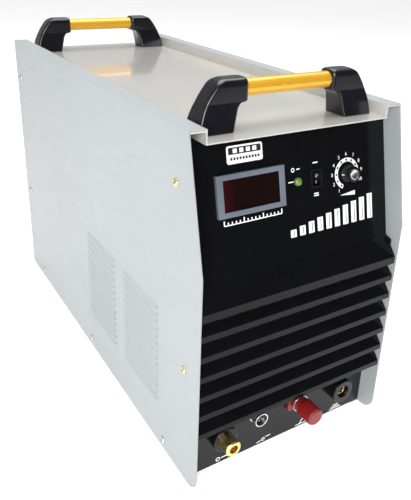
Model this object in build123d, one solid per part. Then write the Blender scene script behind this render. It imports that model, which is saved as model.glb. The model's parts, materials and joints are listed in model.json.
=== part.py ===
from build123d import *

import math
import os

# Plasma cutter power unit, in millimetres.
# The front faces -Y, the rear +Y, and Z is up. While the pieces are made, y = 0 is the
# foremost edge of the side panels, z = 0 is the floor and x = 0 is the middle of the cabinet.
# save() then moves everything so that the origin is the centre of the footprint.

# ---- Cabinet -------------------------------------------------------------------------------
width = 290.0
height = 440.0
depth = 663.0
sheet = 1.5
lean = 33.0                 # top front corner of a side panel behind its foremost edge
knee_height = 293.0         # where the leaning front edge meets the upright one
toe_radius = 21.0
face_setback = 27.0         # front face behind the side panels' front edge
rear_setback = 15.0         # rear panel ahead of the side panels' rear edge
top_flange = 20.0
bottom_flange = 14.0
tray_depth = 15.0           # recess of the top cover between its side walls
floor_wall_height = 20.0
gap = 0.4                   # clearance between a drop-in piece and its opening
hole_gap = 0.1              # radial clearance of a screw in its hole

inside = width / 2 - sheet
tray_floor = height - tray_depth
lean_angle = math.degrees(math.atan2(lean, height - knee_height))
rear_face = depth - rear_setback

# ---- Side louvres --------------------------------------------------------------------------
louvre_count = 14
louvre_pitch = 10.5
louvre_length = 98.0
louvre_height = 5.0
louvre_reach, louvre_wall = 2.4, 0.9
louvre_bottom = 68.0
louvre_starts = (100.0, 232.0)

# ---- Front moulding ------------------------------------------------------------------------
moulding = 3.0
moulding_gap = 0.5
crease_height = 272.5
fin_count = 7
fin_pitch = 26.8
fin_tip_height = 248.5
fin_lip = 7.3
first_lip = 9.5
fin_tip_y = 2.0
fin_root_y = 11.0
fin_root_drop = 8.6
slot_count = 8
slot_length = 26.0
slot_width = 4.0
side_return = 24.0

# ---- Front controls ------------------------------------------------------------------------
meter_x, meter_z = -61.5, 360.5
meter_width, meter_tall = 89.0, 46.6
window_width, window_tall = 73.5, 34.8
meter_proud = 5.0
meter_sleeve = 3.5          # frame outer edge to the sleeve that passes through the face
lens_thick = 2.0
lens_edge = 1.5             # lens hidden behind the frame's lip, all round
led_x, led_z, led_radius, led_proud = 4.0, 360.5, 5.0, 4.5
rocker_x, rocker_z = 31.0, 360.5
rocker_width, rocker_tall = 17.5, 21.5
rocker_rim = 2.4
rocker_tilt = 10.0
rocker_pin = 1.2
knob_x, knob_z = 79.5, 358.5
knob_radius, knob_tall = 10.5, 13.0
knob_top_radius = 9.0
knob_flutes = 20
cap_radius, cap_thick = 6.3, 1.2
shaft_radius = 3.0
running_gap = 0.05
pot_radius, pot_long = 12.0, 10.0
bush_radius = 3.9
badge_x, badge_z, badge_width, badge_tall = -65.4, 402.0, 46.0, 19.5
badge_thick = 0.6

# ---- Front connectors ----------------------------------------------------------------------
connector_z = 55.5
torch_x, torch_flats, torch_reach = -98.7, 20.0, 35.8
torch_bore = 5.7
torch_tail = 20.0           # start of the hose tail behind the panel's front face
bush_flange, bush_reach, bush_shank = 17.0, 19.0, 11.0
control_x, control_radius, control_reach = -41.7, 9.6, 13.0
terminal_x, terminal_base_side, terminal_boss = 21.0, 28.0, 11.0
terminal_cap_radius, terminal_cap_long = 12.0, 30.0
washer_thick = 2.0
stud_radius = 4.0
cap_turns, thread_pitch = 3, 1.25       # how far the cap unscrews, and its travel per turn
socket_x, socket_ring, socket_reach, socket_bore = 86.0, 16.8, 23.5, 9.0
contact_radius, contact_bore, contact_inset = 6.6, 4.6, 4.5

# ---- Carrying handles ----------------------------------------------------------------------
handle_inset = 39.0         # handle centre line behind the top front corner of the cabinet
tube_radius, socket_deep = 9.6, 20.0
tube_rise = 43.0            # tube axis above the top cover
foot_inner, foot_outer = 77.5, 119.0
foot_base_deep, foot_top_deep = 35.0, 26.0
collar_start, collar_radius = 58.0, 12.2
foot_rise, foot_round = 55.5, 7.0
bolt_radius, bolt_long = 3.0, 13.0

# ---- Rear fittings -------------------------------------------------------------------------
fan_z, fan_side, fan_deep, fan_bore = 285.0, 150.0, 38.0, 70.0
hub_radius, blade_count = 28.0, 7
guard_wire, guard_thick = 1.3, 3.0
guard_inner, guard_pitch, guard_rings = 16.0, 9.6, 6
breaker_x, breaker_z, breaker_wide, breaker_tall = -88.0, 140.0, 54.0, 46.0
toggle_swing = 80.0
gland_x, gland_z, gland_bore = 0.0, 60.0, 8.0
gas_x, gas_z, gas_radius = 88.0, 90.0, 6.6
gas_pipe_radius, gas_bore = 5.5, 3.2
earth_x, earth_z, earth_radius = 88.0, 40.0, 4.0

# ---- Inside --------------------------------------------------------------------------------
shelf_z = 210.0
shelf_front, shelf_rear = 84.0, rear_face - 48.0
board_thick = 1.6
rectifier_front, rectifier_long = 0.302 * depth, 92.0
sink_rear = rear_face - sheet - fan_deep - 48.5
sink_front = rectifier_front + rectifier_long + 38.0
sink_long, sink_wide, sink_fin_tall, sink_base = sink_rear - sink_front, 116.0, 56.0, 8.0
sink_fins = 15
module_tall = 24.0
can_radius, can_tall = 17.5, 52.0
transformer_y, choke_y, ignition_y = 0.377 * depth, 0.377 * depth + 160.0, 0.235 * depth
hose_radius, hose_bore = 4.0, 2.5
hose_straight = 48.0        # the hose's run straight out of the torch connector
valve_long = 30.0
valve_y = rear_face - 36.0 - valve_long

# Screws in each side panel, as (y, z): rear pair, floor row, front three.
side_screw_places = (
    (rear_face - 10.0, 379.0),
    (rear_face - 10.0, 164.0),
    (590.0, 14.0),
    (336.0, 14.0),
    (85.0, 14.0),
    (57.0, 380.0),
    (34.0, 160.0),
)
screw_radius = 2.0
screw_head_radius = 3.9
screw_head_tall = 2.2


# ---- Small makers --------------------------------------------------------------------------
def block(x0, x1, y0, y1, z0, z1):
    """A box between two corners."""
    return Pos((x0 + x1) / 2, (y0 + y1) / 2, (z0 + z1) / 2) * Box(x1 - x0, y1 - y0, z1 - z0)


def rod(start, direction, radius, length):
    """A round bar from a point along a direction."""
    return extrude(Plane(origin=start, z_dir=direction) * Circle(radius), amount=length)


def tube(start, direction, radius, bore, length):
    """A round bar with a hole right through it."""
    return rod(start, direction, radius, length) - rod(start, direction, bore, length)


def hex_bar(start, direction, flats, length):
    """A hexagonal bar, sized across its flats."""
    outline = RegularPolygon(flats / 2, 6, major_radius=False)
    return extrude(Plane(origin=start, z_dir=direction) * outline, amount=length)


def profile(points, length):
    """An outline of (y, z) points, extruded along +X from x = 0."""
    return extrude(Plane.YZ * make_face(Polyline(*points, close=True)), amount=length)


def group(pieces):
    """Several separate solids in one node."""
    return Compound(children=[solid for piece in pieces for solid in piece.solids()])


def mirrored(piece):
    return mirror(piece, about=Plane.YZ)


# ---- Leaning front face --------------------------------------------------------------------
def face_y(z):
    """The y of the leaning front face at a height."""
    return face_setback + lean * (z - knee_height) / (height - knee_height)


def face_plane(x, z, out=0.0):
    """A plane on the leaning face, its own y up the slope and its z straight out of it."""
    slope = math.radians(lean_angle)
    normal = Vector(0, -math.cos(slope), math.sin(slope))
    return Plane(origin=Vector(x, face_y(z), z) + normal * out, x_dir=(1, 0, 0), z_dir=normal)


def on_face(x, z, out, sketch, thick):
    """A sketch on the leaning face, starting 'out' above it and 'thick' further out."""
    return extrude(face_plane(x, z, out) * sketch, amount=thick)


# ---- Cabinet sheets ------------------------------------------------------------------------
def louvre_places():
    for start in louvre_starts:
        for row in range(louvre_count):
            yield start, louvre_bottom + row * louvre_pitch


def louvre_hood():
    """A slanted blade with closed ends that stands out of the panel, open at the bottom."""
    wall = louvre_wall
    blade = (
        (0, louvre_height),
        (-louvre_reach, 0),
        (-louvre_reach + wall, 0),
        (sheet, louvre_height - sheet),
        (sheet, louvre_height),
    )
    end = ((0, louvre_height), (-louvre_reach, 0), (sheet, 0), (sheet, louvre_height))
    hood = extrude(Plane.XZ * make_face(Polyline(*blade, close=True)), amount=-louvre_length)
    cheek = extrude(Plane.XZ * make_face(Polyline(*end, close=True)), amount=-wall)
    return hood + cheek + Pos(0, louvre_length - wall, 0) * cheek


def side_panel():
    """The left side panel: leaning front edge, rounded toe, top and bottom returns, louvres."""
    middle = toe_radius * (1 - math.cos(math.radians(45)))
    edge = Polyline((0, toe_radius), (0, knee_height), (lean, height), (depth, height), (depth, 0),
                    (toe_radius, 0))
    toe = ThreePointArc((toe_radius, 0), (middle, middle), (0, toe_radius))
    outline = Plane.YZ * make_face(edge + toe)
    panel = Pos(-width / 2, 0, 0) * extrude(outline, amount=sheet)
    panel += block(-inside, -width / 2 + top_flange, lean, depth, height - sheet, height)
    panel += block(-inside, -inside + bottom_flange, face_setback, rear_face - sheet, 0, sheet)
    slots = []
    hoods = []
    for start, z in louvre_places():
        slots.append(block(-width / 2, -inside, start, start + louvre_length, z, z + louvre_height - sheet))
        hoods.append(Pos(-width / 2, start, z) * louvre_hood())
    panel -= slots
    panel += hoods
    holes = [rod((-width / 2, y, z), (1, 0, 0), screw_radius + hole_gap, sheet) for y, z in side_screw_places]
    return panel - holes


def side_screws():
    """Pan head screws through both side panels."""
    screws = []
    for y, z in side_screw_places:
        head = rod((-width / 2, y, z), (-1, 0, 0), screw_head_radius, screw_head_tall)
        head = fillet(head.edges().group_by(Axis.X)[0], 1.2)
        shank = rod((-width / 2, y, z), (1, 0, 0), screw_radius, 8.0)
        cross = block(-1, 1, -0.5, 0.5, -2.6, 2.6) + block(-1, 1, -2.6, 2.6, -0.5, 0.5)
        screw = head + shank - Pos(-width / 2 - screw_head_tall, y, z) * cross
        screws += [screw, mirrored(screw)]
    return group(screws)


def top_cover():
    """A shallow tray: floor, two side walls, and lips that tuck under the side panels."""
    half = width / 2 - top_flange
    cover = block(-half, half, lean, depth, tray_floor - sheet, tray_floor)
    for side in (-1, 1):
        inner, outer = sorted((side * (half - sheet), side * half))
        cover += block(inner, outer, lean, depth, tray_floor, height)
        inner, outer = sorted((side * half, side * inside))
        cover += block(inner, outer, lean, depth, height - 2 * sheet, height - sheet)
    holes = [rod((x, y, tray_floor - sheet), (0, 0, 1), bolt_radius + 0.2, sheet) for x, y in foot_bolt_places()]
    return cover - holes


def base_plate():
    """The floor, with side walls that the side panels are screwed to."""
    front = face_setback + sheet
    rear = rear_face - sheet
    plate = block(-inside, inside, front, rear, sheet, 2 * sheet)
    for side in (-1, 1):
        inner, outer = sorted((side * (inside - sheet), side * inside))
        plate += block(inner, outer, front, rear, 2 * sheet, floor_wall_height + 2 * sheet)
    return plate - side_screw_holes()


def side_screw_holes():
    """Clearance for every side screw behind the side panels."""
    holes = []
    for y, z in side_screw_places:
        hole = rod((-inside - sheet, y, z), (1, 0, 0), screw_radius + hole_gap, 12.0)
        holes += [hole, mirrored(hole)]
    return holes


def rear_panel():
    """The rear sheet, with forward returns and an opening for each rear fitting."""
    front = rear_face - sheet
    top = tray_floor - sheet - gap
    panel = block(-inside, inside, front, rear_face, 2 * sheet, top)
    for side in (-1, 1):
        inner, outer = sorted((side * (inside - sheet), side * inside))
        panel += block(inner, outer, front - 20.0, front, floor_wall_height + 12.0, top)
    openings = [
        rod((0, front, fan_z), (0, 1, 0), fan_bore, sheet),
        block(breaker_x - breaker_wide / 2 - gap, breaker_x + breaker_wide / 2 + gap, front, rear_face,
              breaker_z - breaker_tall / 2 - gap, breaker_z + breaker_tall / 2 + gap),
        rod((gland_x, front, gland_z), (0, 1, 0), gland_thread() + hole_gap, sheet),
        rod((gas_x, front, gas_z), (0, 1, 0), gas_radius + hole_gap, sheet),
        rod((earth_x, front, earth_z), (0, 1, 0), earth_radius + hole_gap, sheet),
    ]
    openings += [rod((x, front, z), (0, 1, 0), screw_radius + hole_gap, sheet) for x, z in fan_screw_places()]
    return panel - openings - side_screw_holes()


def inner_shelf():
    """The deck that carries the power electronics, folded down along both sides."""
    shelf = block(-inside, inside, shelf_front, shelf_rear, shelf_z, shelf_z + sheet)
    for side in (-1, 1):
        inner, outer = sorted((side * (inside - sheet), side * inside))
        shelf += block(inner, outer, shelf_front, shelf_rear, shelf_z - 14.0, shelf_z)
    return shelf


# ---- Front moulding and lower panel --------------------------------------------------------
def fin_points():
    """The zigzag of the louvred front, from the crease down, as (y, z)."""
    points = [(face_y(crease_height), crease_height)]
    for fin in range(fin_count):
        tip = fin_tip_height - fin * fin_pitch
        lip = first_lip if fin == 0 else fin_lip
        points += [(fin_tip_y, tip), (fin_tip_y, tip - lip)]
        if fin < fin_count - 1:
            points.append((fin_root_y, tip - lip - fin_root_drop))
    return points


def fin_bottom():
    """The underside of the lowest fin."""
    return fin_tip_height - (fin_count - 1) * fin_pitch - fin_lip


def moulding_top():
    return tray_floor - sheet - gap


def front_bezel():
    """The black moulding: leaning face, seven fins and the returns along its sides."""
    top = moulding_top()
    outer = [(face_y(top), top)] + fin_points()
    wall = moulding * math.sqrt(2)
    inner = [(y + wall, z) for y, z in outer]
    floor = [(face_setback + sheet + moulding, fin_bottom()), (face_setback + sheet + moulding, fin_bottom() + moulding)]
    inner[-1] = (fin_tip_y + wall, fin_bottom() + moulding)
    section = outer + floor + inner[::-1]
    half = inside - moulding_gap
    bezel = Pos(-half, 0, 0) * profile(section, 2 * half)
    lap = 1.0
    back = face_y(top) + wall
    side = [
        (back - lap, top),
        (back + side_return, top),
        (face_setback + side_return, crease_height),
        (face_setback + side_return, fin_bottom() + moulding - lap),
        (fin_root_y + lap, fin_bottom() + moulding - lap),
        (fin_root_y + lap, crease_height - wall),
        (face_y(crease_height) + wall - lap, crease_height),
    ]
    for start in (-half, half - moulding):
        bezel += Pos(start, 0, 0) * profile(side, moulding)
    return bezel - face_openings() - vent_slots() - side_screw_holes()


def vent_slots():
    """Slots through the underside of each fin, for the cooling air."""
    pitch = (2 * inside - 2 * side_return) / slot_count
    slots = []
    for fin in range(fin_count - 1):
        lip = first_lip if fin == 0 else fin_lip
        z = fin_tip_height - fin * fin_pitch - lip
        for number in range(slot_count):
            x = (number - (slot_count - 1) / 2) * pitch
            slots.append(block(x - slot_length / 2, x + slot_length / 2,
                               fin_tip_y + 2.5, fin_tip_y + 2.5 + slot_width, z - fin_root_drop, z + 3.0))
    return slots


def face_openings():
    """The holes in the leaning face, one for each control."""
    through = 3 * moulding
    hole = Rectangle(meter_width - 2 * meter_sleeve + 2 * gap, meter_tall - 2 * meter_sleeve + 2 * gap)
    rocker_hole = Rectangle(rocker_width - rocker_rim + 2 * gap, rocker_tall - rocker_rim + 2 * gap)
    return [
        on_face(meter_x, meter_z, -through, hole, 2 * through),
        on_face(led_x, led_z, -through, Circle(led_radius + hole_gap), 2 * through),
        on_face(rocker_x, rocker_z, -through, rocker_hole, 2 * through),
        on_face(knob_x, knob_z, -through, Circle(bush_radius + hole_gap), 2 * through),
    ]


def connector_panel():
    """The upright lower plate that carries the output sockets."""
    y0, y1 = face_setback, face_setback + sheet
    panel = block(-inside, inside, y0, y1, sheet, fin_bottom())
    for side in (-1, 1):
        inner, outer = sorted((side * (inside - sheet), side * inside))
        panel += block(inner, outer, y1, y1 + 14.0, floor_wall_height + 2 * sheet + gap, fin_bottom())
    holes = [
        rod((torch_x, y0, connector_z), (0, 1, 0), bush_shank + hole_gap, sheet),
        rod((control_x, y0, connector_z), (0, 1, 0), control_radius + hole_gap, sheet),
        rod((terminal_x, y0, connector_z), (0, 1, 0), stud_radius + 2.0 + hole_gap, sheet),
        rod((socket_x, y0, connector_z), (0, 1, 0), socket_shank() + hole_gap, sheet),
    ]
    return panel - holes


# ---- Meter, lamp, switch and knob ----------------------------------------------------------
def meter_frame():
    """The raised frame round the meter window, with a sleeve through the face."""
    back = moulding * 2
    rim = on_face(meter_x, meter_z, 0, Rectangle(meter_width, meter_tall), meter_proud)
    sleeve = Rectangle(meter_width - 2 * meter_sleeve, meter_tall - 2 * meter_sleeve)
    pocket = Rectangle(window_width + 2 * lens_edge, window_tall + 2 * lens_edge)
    window = Rectangle(window_width, window_tall)
    frame = rim + on_face(meter_x, meter_z, -back, sleeve, back)
    frame -= on_face(meter_x, meter_z, -back, pocket, back + meter_proud - 1.2)
    return frame - on_face(meter_x, meter_z, 0, window, meter_proud)


def meter_lens():
    """The dark window, seated against the back of the frame's lip."""
    outline = Rectangle(window_width + 2 * lens_edge - gap, window_tall + 2 * lens_edge - gap)
    return on_face(meter_x, meter_z, meter_proud - 1.2 - lens_thick, outline, lens_thick)


def meter_module():
    """The display block and its circuit board behind the lens."""
    back = moulding * 2
    display = Rectangle(window_width - 6.0, window_tall - 6.0)
    board = Rectangle(window_width + 2 * lens_edge - gap, window_tall + 2 * lens_edge - gap)
    lens_back = meter_proud - 1.2 - lens_thick
    module = on_face(meter_x, meter_z, -back, display, back + lens_back)
    return module + on_face(meter_x, meter_z, -back - board_thick, board, board_thick)


def lamp():
    """The round indicator lamp, with a domed top and a flange behind the face."""
    body = on_face(led_x, led_z, -moulding * 1.45, Circle(led_radius), moulding * 1.45 + led_proud)
    body = fillet(body.edges().sort_by(Axis.Y)[:1], led_radius * 0.7)
    return body + on_face(led_x, led_z, -moulding * 1.45 - 1.5, Circle(led_radius + 1.5), 1.5)


def rocker_housing():
    """The switch body: a rim on the face and a box behind it, open at the front."""
    rim = on_face(rocker_x, rocker_z, 0, Rectangle(rocker_width, rocker_tall), 2.0)
    body = on_face(rocker_x, rocker_z, -16.0, Rectangle(rocker_width - rocker_rim, rocker_tall - rocker_rim), 16.0)
    cavity = on_face(rocker_x, rocker_z, -12.0, rocker_opening(), 14.0)
    return rim + body - cavity - rocker_axle(rocker_pin + running_gap, rocker_width - rocker_rim)


def rocker_opening():
    return Rectangle(rocker_width - 2 * rocker_rim, rocker_tall - 1.6 * rocker_rim)


def rocker_pivot():
    """The centre of the rocker's axle, a little under the face."""
    return face_plane(rocker_x, rocker_z, -4.0).origin


def rocker_axle(radius, length):
    start = rocker_pivot() - Vector(length / 2, 0, 0)
    return rod(start, (1, 0, 0), radius, length)


def mode_rocker():
    """The rocker, its lower half pressed in, on two short axle ends."""
    half = (rocker_tall - 1.6 * rocker_rim) / 2 - 1.1
    wide = rocker_width - 2 * rocker_rim - 2 * gap
    outline = Polyline((-half, 5.6), (0, 4.6), (half, 5.6), (half * 0.8, -1.5), (-half * 0.8, -1.5), close=True)
    pivot = rocker_pivot()
    slope = math.radians(lean_angle)
    up = Vector(0, math.sin(slope), math.cos(slope))
    section = Plane(origin=pivot - Vector(wide / 2, 0, 0), x_dir=up, z_dir=(-1, 0, 0))
    body = extrude(section * make_face(outline), amount=-wide)
    rocker = body + rocker_axle(rocker_pin, rocker_width - 2 * rocker_rim + 1.6)
    return rocker.rotate(Axis(pivot, (1, 0, 0)), -rocker_tilt)


def current_knob():
    """The fluted knob, hollow over the bush's nut, with a bore for the shaft."""
    flute = PolarLocations(knob_radius + 0.35, knob_flutes) * Circle(0.9)
    skirt = on_face(knob_x, knob_z, 0.6, Circle(knob_radius), 2.2)
    grip = on_face(knob_x, knob_z, 2.8, Circle(knob_radius) - flute, knob_tall - 2.2)
    knob = skirt + grip
    knob -= on_face(knob_x, knob_z, 0.6, Circle(knob_top_radius - 1.6), 5.0)
    knob -= on_face(knob_x, knob_z, 5.6, Circle(shaft_radius + 0.01), 5.0)
    return knob - on_face(knob_x, knob_z, knob_tall + 0.6 - cap_thick * 0.7, Circle(cap_radius), cap_thick)


def knob_cap():
    """The bright disc pressed into the top of the knob."""
    disc = on_face(knob_x, knob_z, knob_tall + 0.6 - cap_thick * 0.7, Circle(cap_radius), cap_thick)
    return fillet(disc.edges().sort_by(Axis.Y)[:1], 0.4)


def potentiometer():
    """The potentiometer's can behind the face, with its threaded bush."""
    back = moulding * 1.5
    can = on_face(knob_x, knob_z, -back - pot_long, Circle(pot_radius), pot_long)
    can += on_face(knob_x, knob_z, -back, Circle(bush_radius), back + 3.4)
    return can - on_face(knob_x, knob_z, -back - pot_long + 2.0, Circle(shaft_radius + running_gap), pot_long + back + 3.0)


def potentiometer_shaft():
    start = -moulding * 1.5 - pot_long + 2.4
    return on_face(knob_x, knob_z, start, Circle(shaft_radius), 10.2 - start)


def potentiometer_nut():
    ring = RegularPolygon(5.4, 6, major_radius=False) - Circle(bush_radius + hole_gap)
    return on_face(knob_x, knob_z, 0, ring, 2.2)


def badge_plate():
    outline = RectangleRounded(badge_width, badge_tall, 2.5)
    return on_face(badge_x, badge_z, 0, outline, badge_thick)


# ---- Output connectors ---------------------------------------------------------------------
def torch_insulator():
    """The black bush that keeps the torch connector clear of the panel."""
    y = face_setback
    bush = rod((torch_x, y, connector_z), (0, -1, 0), bush_flange, bush_reach)
    bush = fillet(bush.edges().group_by(Axis.Y)[0], 1.5)
    bush += rod((torch_x, y, connector_z), (0, 1, 0), bush_shank, 8.0)
    return bush - rod((torch_x, y - bush_reach, connector_z), (0, 1, 0), torch_shank() + hole_gap, bush_reach + 8.0)


def torch_shank():
    return torch_flats / 2 - 2.5


def torch_connector():
    """The brass output: a bored hexagonal nose, a shank through the bush and a hose tail."""
    y = face_setback
    nose_front = y - torch_reach
    nose = hex_bar((torch_x, nose_front, connector_z), (0, 1, 0), torch_flats, torch_reach - bush_reach)
    cone = rod((torch_x, nose_front, connector_z), (0, 1, 0), torch_flats / 2 + 0.4, torch_reach - bush_reach)
    nose &= chamfer(cone.edges().group_by(Axis.Y)[0], 1.4)
    body = nose + rod((torch_x, y - bush_reach, connector_z), (0, 1, 0), torch_shank(), bush_reach + torch_tail)
    body += rod((torch_x, y + torch_tail, connector_z), (0, 1, 0), hose_bore - hole_gap, 18.0)
    return body - rod((torch_x, nose_front, connector_z), (0, 1, 0), torch_bore, 18.0)


def torch_nut():
    nut = hex_bar((torch_x, face_setback + 8.0, connector_z), (0, 1, 0), 26.0, 7.0)
    return nut - rod((torch_x, face_setback + 8.0, connector_z), (0, 1, 0), torch_shank() + hole_gap, 7.0)


def control_socket_shell():
    """The plated shell of the two-pole control socket, with its flange and rear nut."""
    y = face_setback
    shell = rod((control_x, y, connector_z), (0, -1, 0), control_radius + 1.0, 2.0)
    shell += rod((control_x, y, connector_z), (0, -1, 0), control_radius, control_reach)
    shell += rod((control_x, y, connector_z), (0, 1, 0), control_radius, 12.0)
    shell += hex_bar((control_x, y + sheet, connector_z), (0, 1, 0), 2 * control_radius + 3.0, 3.0)
    return shell - rod((control_x, y - control_reach, connector_z), (0, 1, 0), control_radius - 1.4, control_reach + 12.0)


def control_socket_insert():
    y = face_setback
    insert = rod((control_x, y - control_reach + 5.0, connector_z), (0, 1, 0), control_radius - 1.5, 14.0)
    for side in (-1, 1):
        insert -= rod((control_x + side * control_radius / 3, y - control_reach + 5.0, connector_z), (0, 1, 0), 0.9, 14.0)
    return insert


def control_socket_pins():
    y = face_setback - control_reach + 1.5
    return group([rod((control_x + side * control_radius / 3, y, connector_z), (0, 1, 0), 0.8, 20.0) for side in (-1, 1)])


def terminal_base():
    """The square red base of the pilot arc terminal, with a round boss."""
    y = face_setback
    side = terminal_base_side / 2
    base = block(terminal_x - side, terminal_x + side, y - 5.0, y, connector_z - side, connector_z + side)
    base = fillet(base.edges().filter_by(Axis.Y), 3.0)
    base += rod((terminal_x, y - terminal_boss, connector_z), (0, 1, 0), terminal_cap_radius - 1.0, terminal_boss)
    base += rod((terminal_x, y, connector_z), (0, 1, 0), stud_radius + 2.0, 4.0)
    return base - rod((terminal_x, y - terminal_boss, connector_z), (0, 1, 0), stud_radius + hole_gap, 20.0)


def terminal_stud():
    """The threaded brass stud, with its nut behind the panel."""
    start = cap_rear() - terminal_cap_room() + 1.0
    rear = face_setback + 15.0
    stud = rod((terminal_x, start, connector_z), (0, 1, 0), stud_radius, rear - start)
    return stud + hex_bar((terminal_x, face_setback + 4.0, connector_z), (0, 1, 0), 13.0, 5.0)


def washer_rear():
    """The rear face of the clamping washer when the terminal is screwed shut."""
    return face_setback - terminal_boss - gap


def cap_rear():
    return washer_rear() - washer_thick - gap


def terminal_cap_room():
    """How deep the cap's bore is."""
    return terminal_cap_long - 3.0


def terminal_washer():
    """The plated washer that travels under the cap and clamps the lead."""
    bore = stud_radius + running_gap
    return tube((terminal_x, washer_rear(), connector_z), (0, -1, 0), terminal_cap_radius, bore, washer_thick)


def terminal_cap():
    """The knurled red cap that screws along the stud."""
    y = cap_rear()
    ribs = PolarLocations(terminal_cap_radius + 0.3, 24) * Circle(0.7)
    knurl = Circle(terminal_cap_radius) - ribs
    cap = extrude(Plane(origin=(terminal_x, y, connector_z), z_dir=(0, -1, 0)) * knurl, amount=terminal_cap_long - 4.0)
    front = rod((terminal_x, y - terminal_cap_long + 4.0, connector_z), (0, -1, 0), terminal_cap_radius - 0.6, 4.0)
    cap += fillet(front.edges().group_by(Axis.Y)[0], 1.5)
    return cap - rod((terminal_x, y, connector_z), (0, -1, 0), stud_radius + running_gap, terminal_cap_room())


def socket_shank():
    return socket_ring - 3.0


def earth_socket_body():
    """The black quick-connect socket for the earth lead."""
    y = face_setback
    body = rod((socket_x, y, connector_z), (0, -1, 0), socket_ring, socket_reach)
    body = fillet(body.edges().group_by(Axis.Y)[0], 1.5)
    body += rod((socket_x, y, connector_z), (0, 1, 0), socket_shank(), 16.0)
    body -= rod((socket_x, y - socket_reach, connector_z), (0, 1, 0), socket_bore, 20.0)
    return body - rod((socket_x, y - socket_reach, connector_z), (0, 1, 0), contact_radius + hole_gap, socket_reach + 16.0)


def earth_socket_contact():
    """The brass contact sleeve inside the earth socket, with its rear terminal."""
    y = face_setback
    front = y - socket_reach + contact_inset
    contact = rod((socket_x, front, connector_z), (0, 1, 0), contact_radius, socket_reach + 20.0)
    contact -= rod((socket_x, front, connector_z), (0, 1, 0), contact_bore, 18.0)
    return contact + hex_bar((socket_x, y + 16.0, connector_z), (0, 1, 0), 22.0, 6.0)


# ---- Carrying handles ----------------------------------------------------------------------
def handle_places():
    """The y of the centre line of each handle."""
    return {"front": lean + handle_inset, "rear": depth - handle_inset}


def foot_bolt_places():
    middle = (foot_inner + foot_outer) / 2
    reach = (middle - 11.0, middle + 11.0)
    return [(side * x, y) for y in handle_places().values() for side in (-1, 1) for x in reach]


def foot_outline(z):
    """The foot seen from the front: a waisted inner side, a flat top and a curved outer flank."""
    top = z + foot_rise
    under = z + tube_rise - collar_radius
    round_start, round_end = foot_outer - 32.0, foot_outer - 20.5
    edge = Polyline(
        (foot_outer, z),
        (foot_inner, z),
        (foot_inner - 7.0, under - 6.0),
        (foot_inner - 13.0, under),
        (collar_start, under),
        (collar_start, top),
        (round_start, top),
    )
    shoulder = ThreePointArc((round_start, top), (foot_outer - 25.4, top - 1.9), (round_end, top - 7.0))
    flank = ThreePointArc((round_end, top - 7.0), (foot_outer - 6.5, top - 29.0), (foot_outer, z))
    return make_face(edge + shoulder + flank)


def foot_side_outline(y, z):
    """The foot seen from the side: a column that narrows to the collar, with a rounded top."""
    top = z + foot_rise
    under = z + tube_rise - collar_radius
    base, crown = foot_base_deep / 2, foot_top_deep / 2
    edge = Polyline(
        (y - crown, top - foot_round),
        (y - crown, under),
        (y - base, z),
        (y + base, z),
        (y + crown, under),
        (y + crown, top - foot_round),
    )
    rear_round = RadiusArc((y + crown, top - foot_round), (y + crown - foot_round, top), -foot_round)
    front_round = RadiusArc((y - crown + foot_round, top), (y - crown, top - foot_round), -foot_round)
    crest = Line((y + crown - foot_round, top), (y - crown + foot_round, top))
    return make_face(edge + rear_round + crest + front_round)


def handle_foot(y, side):
    """A moulded foot: a column bolted to the top cover, with a collar for the tube."""
    z = tray_floor
    front = Pos(0, y + foot_base_deep, 0) * (Plane.XZ * foot_outline(z))
    column = extrude(front, amount=2 * foot_base_deep)
    foot = column & extrude(Plane.YZ * foot_side_outline(y, z), amount=foot_outer + 1.0)
    foot -= rod((collar_start, y, z + tube_rise), (1, 0, 0), tube_radius + hole_gap, socket_deep)
    for x, bolt_y in foot_bolt_places():
        if x > 0 and abs(bolt_y - y) < 1.0:
            foot -= rod((x, y, z), (0, 0, 1), bolt_radius + hole_gap, bolt_long)
    return foot if side > 0 else mirrored(foot)


def handle_tube(y):
    reach = collar_start + socket_deep - 0.2
    return tube((-reach, y, tray_floor + tube_rise), (1, 0, 0), tube_radius, tube_radius - 2.0, 2 * reach)


def handle_bolts():
    bolts = []
    for x, y in foot_bolt_places():
        head = hex_bar((x, y, tray_floor - sheet), (0, 0, -1), 10.0, 4.0)
        bolts.append(head + rod((x, y, tray_floor - sheet), (0, 0, 1), bolt_radius, bolt_long))
    return group(bolts)


# ---- Rear fittings -------------------------------------------------------------------------
def fan_screw_offset():
    """How far each fan screw is from the fan's axis, sideways and up."""
    return fan_side / 2 - 8.0


def fan_screw_places():
    offset = fan_screw_offset()
    return [(sx * offset, fan_z + sz * offset) for sx in (-1, 1) for sz in (-1, 1)]


def fan_back():
    """The rear face of the fan's frame, against the rear panel."""
    return rear_face - sheet


def fan_frame():
    """The square frame, its motor hub on four struts and the rotor's fixed shaft."""
    y = fan_back() - fan_deep
    frame = block(-fan_side / 2, fan_side / 2, y, y + fan_deep, fan_z - fan_side / 2, fan_z + fan_side / 2)
    frame = fillet(frame.edges().filter_by(Axis.Y), 8.0)
    frame -= rod((0, y, fan_z), (0, 1, 0), fan_bore, fan_deep)
    for turn in range(4):
        strut = block(0, fan_bore + 1.0, y, y + 4.0, fan_z - 3.0, fan_z + 3.0)
        frame += strut.rotate(Axis((0, 0, fan_z), (0, 1, 0)), 45 + turn * 90)
    frame += rod((0, y, fan_z), (0, 1, 0), hub_radius - 2.0, 5.0)
    frame += rod((0, y, fan_z), (0, 1, 0), shaft_radius, 26.0)
    return frame - [rod((x, y, z), (0, 1, 0), screw_radius + hole_gap, fan_deep) for x, z in fan_screw_places()]


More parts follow.
